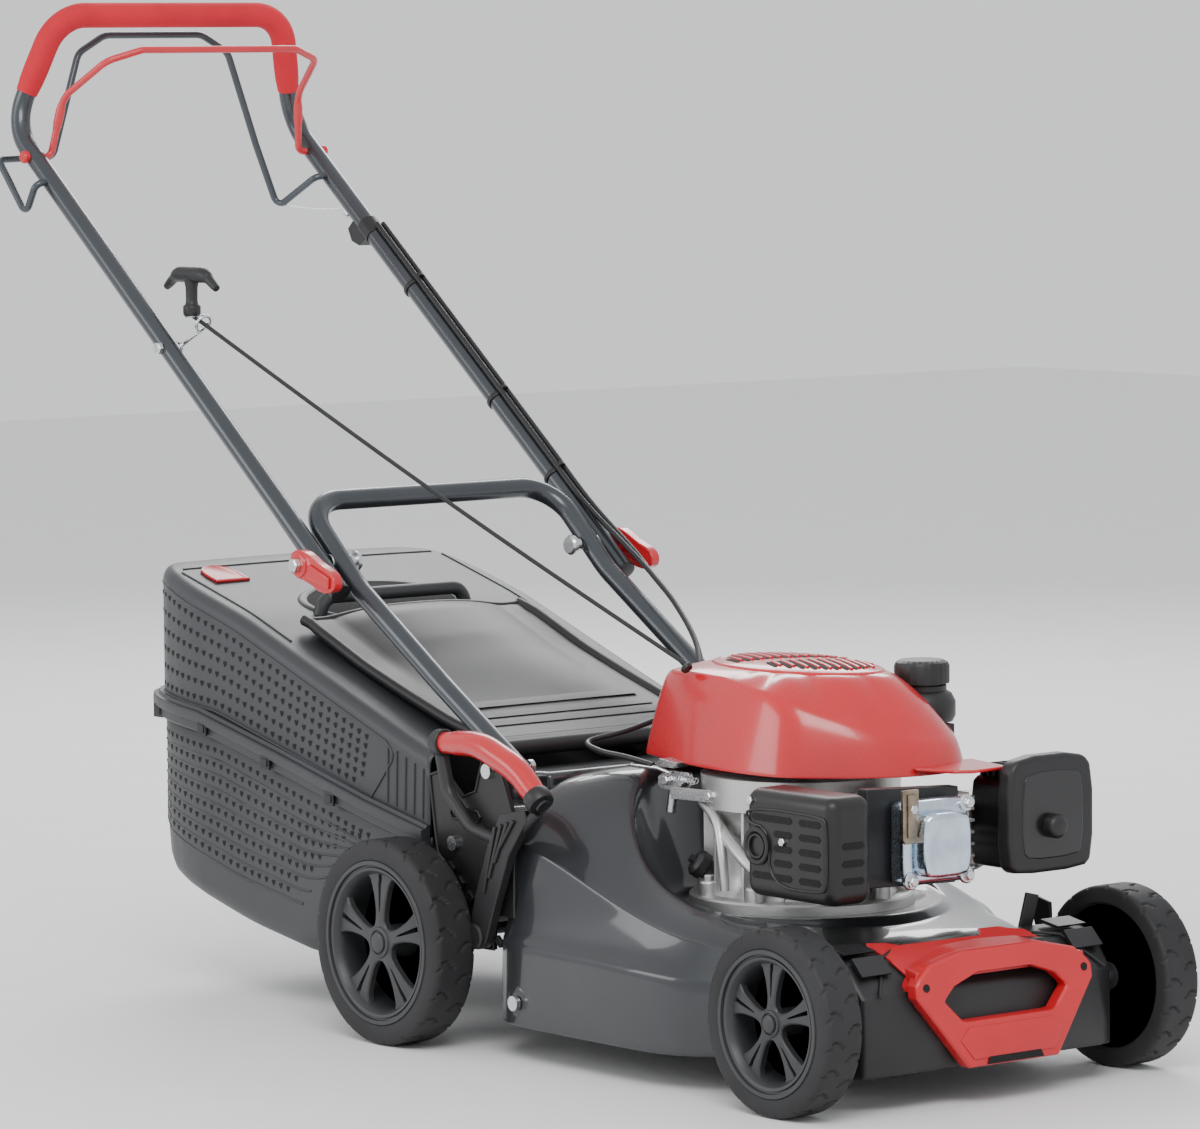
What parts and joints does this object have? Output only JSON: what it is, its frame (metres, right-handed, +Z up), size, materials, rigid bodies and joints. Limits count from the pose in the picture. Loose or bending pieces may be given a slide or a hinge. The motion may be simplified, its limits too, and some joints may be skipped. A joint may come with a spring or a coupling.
{
  "type": "walk-behind petrol lawn mower",
  "caption": "Self-propelled petrol rotary mower with pressed deck, vertical-shaft engine, folding tubular handle with two bails, height lever and rear grass catcher.",
  "frame": {"origin": "on the ground under the centre of the whole mower's bounding box", "axes": "+X towards the mower's front, +Y to the mower's left, +Z up"},
  "size_m": [1.44, 0.54, 1.063],
  "materials": {
    "air_filter_box": "black plastic",
    "air_filter_knob": "black plastic",
    "blade": "hardened steel",
    "blade_bolt": "zinc plated",
    "brake_linkage": "zinc plated",
    "cable_clips": "black plastic",
    "cam_lever_left": "red plastic",
    "cam_lever_right": "red plastic",
    "carburettor": "cast",
    "catcher_lower": "textured grey plastic",
    "catcher_rim": "grey plastic",
    "catcher_upper": "textured grey plastic",
    "control_cables": "black sheath",
    "crankcase": "cast",
    "crankshaft": "machined",
    "cylinder": "cast",
    "deck": "glossy dark grey paint",
    "dipstick": "black plastic",
    "drive_bail": "dark grey coating",
    "drive_belt": "black rubber",
    "drive_pulley": "pressed steel",
    "engine_cover": "satin-gloss red plastic",
    "fill_flap": "red plastic",
    "flap_rod": "zinc plated",
    "flywheel": "cast",
    "front_axle": "plain steel",
    "front_handle": "satin red plastic",
    "front_shroud": "fine-textured black plastic",
    "fuel_cap": "ribbed black plastic",
    "fuel_tank": "black plastic",
    "gearbox": "cast",
    "grip_foam": "soft red foam",
    "handle_bolts": "zinc plated",
    "handle_brackets": "satin black paint",
    "height_lever": "black plastic",
    "hex_bolts": "zinc plated",
    "lever_button": "black plastic",
    "lever_grip": "soft red plastic",
    "link_rod": "zinc plated",
    "lower_handle": "satin dark grey paint",
    "muffler": "heat-darkened steel",
    "muffler_guard": "satin black",
    "rear_axle": "plain steel",
    "rear_flap": "black plastic",
    "rope_guide": "plated wire",
    "spark_plug": "heat-tinted",
    "starter_handle": "black plastic",
    "starter_rope": "braided cord",
    "stop_bail": "red coating",
    "tyre_front_left": "moulded black",
    "tyre_front_right": "moulded black",
    "tyre_rear_left": "moulded black",
    "tyre_rear_right": "moulded black",
    "upper_handle": "satin dark grey paint",
    "valve_cover": "zinc plated, bluish",
    "wheel_front_left": "black plastic",
    "wheel_front_right": "black plastic",
    "wheel_rear_left": "black plastic",
    "wheel_rear_right": "black plastic"
  },
  "bodies": {
    "chassis": {"deck": "deck", "front_shroud": "front_shroud", "front_handle": "front_handle", "handle_brackets": "handle_brackets", "lower_handle": "lower_handle", "handle_bolts": "handle_bolts", "hex_bolts": "hex_bolts", "crankcase": "crankcase", "cylinder": "cylinder", "valve_cover": "valve_cover", "muffler": "muffler", "muffler_guard": "muffler_guard", "spark_plug": "spark_plug", "carburettor": "carburettor", "air_filter_box": "air_filter_box", "fuel_tank": "fuel_tank", "engine_cover": "engine_cover", "brake_linkage": "brake_linkage", "control_cables": "control_cables", "drive_belt": "drive_belt", "starter_rope": "starter_rope", "flap_rod": "flap_rod"},
    "rear_suspension": {"rear_axle": "rear_axle", "height_lever": "height_lever", "lever_grip": "lever_grip", "gearbox": "gearbox"},
    "front_suspension": {"front_axle": "front_axle"},
    "height_link": {"link_rod": "link_rod"},
    "lever_button": {"lever_button": "lever_button"},
    "crank": {"crankshaft": "crankshaft", "flywheel": "flywheel", "blade": "blade", "blade_bolt": "blade_bolt"},
    "drive_input": {"drive_pulley": "drive_pulley"},
    "upper_handle": {"upper_handle": "upper_handle", "grip_foam": "grip_foam", "rope_guide": "rope_guide", "cable_clips": "cable_clips"},
    "cam_right": {"cam_lever_right": "cam_lever_right"},
    "cam_left": {"cam_lever_left": "cam_lever_left"},
    "stop_bail": {"stop_bail": "stop_bail"},
    "drive_bail": {"drive_bail": "drive_bail"},
    "rear_flap": {"rear_flap": "rear_flap"},
    "catcher": {"catcher_upper": "catcher_upper", "catcher_lower": "catcher_lower", "catcher_rim": "catcher_rim"},
    "fill_flap": {"fill_flap": "fill_flap"},
    "starter_handle": {"starter_handle": "starter_handle"},
    "fuel_cap": {"fuel_cap": "fuel_cap"},
    "dipstick": {"dipstick": "dipstick"},
    "air_filter_knob": {"air_filter_knob": "air_filter_knob"},
    "wheel_rear_right": {"tyre_rear_right": "tyre_rear_right", "wheel_rear_right": "wheel_rear_right"},
    "wheel_rear_left": {"tyre_rear_left": "tyre_rear_left", "wheel_rear_left": "wheel_rear_left"},
    "wheel_front_right": {"tyre_front_right": "tyre_front_right", "wheel_front_right": "wheel_front_right"},
    "wheel_front_left": {"tyre_front_left": "tyre_front_left", "wheel_front_left": "wheel_front_left"}
  },
  "joints": [
    {"name": "height_adjust", "type": "hinge", "parent": "chassis", "child": "rear_suspension", "pos_m": [0.1596, 0, 0.119], "axis": [0, 1, 0], "range_deg": [-13, 13], "deforming": ["drive_belt"]},
    {"name": "front_height", "type": "hinge", "parent": "chassis", "child": "front_suspension", "pos_m": [0.5256, 0, 0.104], "axis": [0, 1, 0], "range_deg": [-13, 13]},
    {"name": "link_swing", "type": "hinge", "parent": "rear_suspension", "child": "height_link", "pos_m": [0.1596, 0.236, 0.159], "axis": [0, 1, 0], "range_deg": [-13, 13]},
    {"name": "lever_button_press", "type": "slide", "parent": "rear_suspension", "child": "lever_button", "axis": [-0.7749, 0, 0.6321], "range_m": [0, 0.005], "stiffness_N_per_m": 600},
    {"name": "crank_spin", "type": "hinge", "parent": "chassis", "child": "crank", "pos_m": [0.4036, 0, 0.064], "axis": [0, 0, 1], "continuous": true},
    {"name": "drive_input_spin", "type": "hinge", "parent": "rear_suspension", "child": "drive_input", "pos_m": [0.0896, 0, 0.135], "axis": [0, 0, 1], "continuous": true},
    {"name": "handle_fold", "type": "hinge", "parent": "chassis", "child": "upper_handle", "pos_m": [-0.14368, 0, 0.474], "axis": [0, 1, 0], "range_deg": [0, 130], "deforming": ["control_cables", "starter_rope"]},
    {"name": "cam_right_turn", "type": "hinge", "parent": "upper_handle", "child": "cam_right", "pos_m": [-0.14368, -0.209, 0.474], "axis": [0, 1, 0], "range_deg": [-110, 0]},
    {"name": "cam_left_turn", "type": "hinge", "parent": "upper_handle", "child": "cam_left", "pos_m": [-0.14368, 0.209, 0.474], "axis": [0, 1, 0], "range_deg": [-110, 0]},
    {"name": "stop_bail_pull", "type": "hinge", "parent": "upper_handle", "child": "stop_bail", "pos_m": [-0.67156, 0, 0.893], "axis": [0, 1, 0], "range_deg": [-31, 0], "stiffness_Nm_per_rad": 0.8, "springref_deg": 28.65},
    {"name": "drive_bail_pull", "type": "hinge", "parent": "upper_handle", "child": "drive_bail", "pos_m": [-0.63629, 0, 0.865], "axis": [0, 1, 0], "range_deg": [0, 6], "stiffness_Nm_per_rad": 1.5, "springref_deg": -22.92},
    {"name": "rear_flap_open", "type": "hinge", "parent": "chassis", "child": "rear_flap", "pos_m": [0.0976, 0, 0.296], "axis": [0, 1, 0], "range_deg": [0, 65]},
    {"name": "catcher_lift", "type": "slide", "parent": "chassis", "child": "catcher", "axis": [-0.9496, 0, 0.3134], "range_m": [0, 0.6]},
    {"name": "fill_flap_lift", "type": "hinge", "parent": "catcher", "child": "fill_flap", "pos_m": [-0.3794, -0.136, 0.4382], "axis": [0, 1, 0], "range_deg": [0, 25]},
    {"name": "starter_pull", "type": "slide", "parent": "upper_handle", "child": "starter_handle", "axis": [-0.3499, 0.15, 0.9247], "range_m": [0, 0.45], "deforming": ["starter_rope"]},
    {"name": "fuel_cap_turn", "type": "hinge", "parent": "chassis", "child": "fuel_cap", "pos_m": [0.4586, 0.112, 0.386], "axis": [0, 0, 1], "range_deg": [0, 90]},
    {"name": "dipstick_turn", "type": "hinge", "parent": "chassis", "child": "dipstick", "pos_m": [0.35897, -0.09725, 0.20269], "axis": [-0.3607, -0.7214, 0.5912], "range_deg": [0, 90]},
    {"name": "air_filter_knob_turn", "type": "hinge", "parent": "chassis", "child": "air_filter_knob", "pos_m": [0.6366, 0.128, 0.246], "axis": [1, 0, 0], "continuous": true},
    {"name": "wheel_rear_right_roll", "type": "hinge", "parent": "rear_suspension", "child": "wheel_rear_right", "pos_m": [0.0536, -0.245, 0.105], "axis": [0, 1, 0], "continuous": true},
    {"name": "wheel_rear_left_roll", "type": "hinge", "parent": "rear_suspension", "child": "wheel_rear_left", "pos_m": [0.0536, 0.245, 0.105], "axis": [0, 1, 0], "continuous": true},
    {"name": "wheel_front_right_roll", "type": "hinge", "parent": "front_suspension", "child": "wheel_front_right", "pos_m": [0.6316, -0.2185, 0.09], "axis": [0, 1, 0], "continuous": true},
    {"name": "wheel_front_left_roll", "type": "hinge", "parent": "front_suspension", "child": "wheel_front_left", "pos_m": [0.6316, 0.2185, 0.09], "axis": [0, 1, 0], "continuous": true}
  ],
  "couplings": [
    {"joint": "front_height", "follows": "height_adjust", "ratio": -1},
    {"joint": "link_swing", "follows": "height_adjust", "ratio": -1},
    {"joint": "drive_input_spin", "follows": "crank_spin", "ratio": 1}
  ]
}
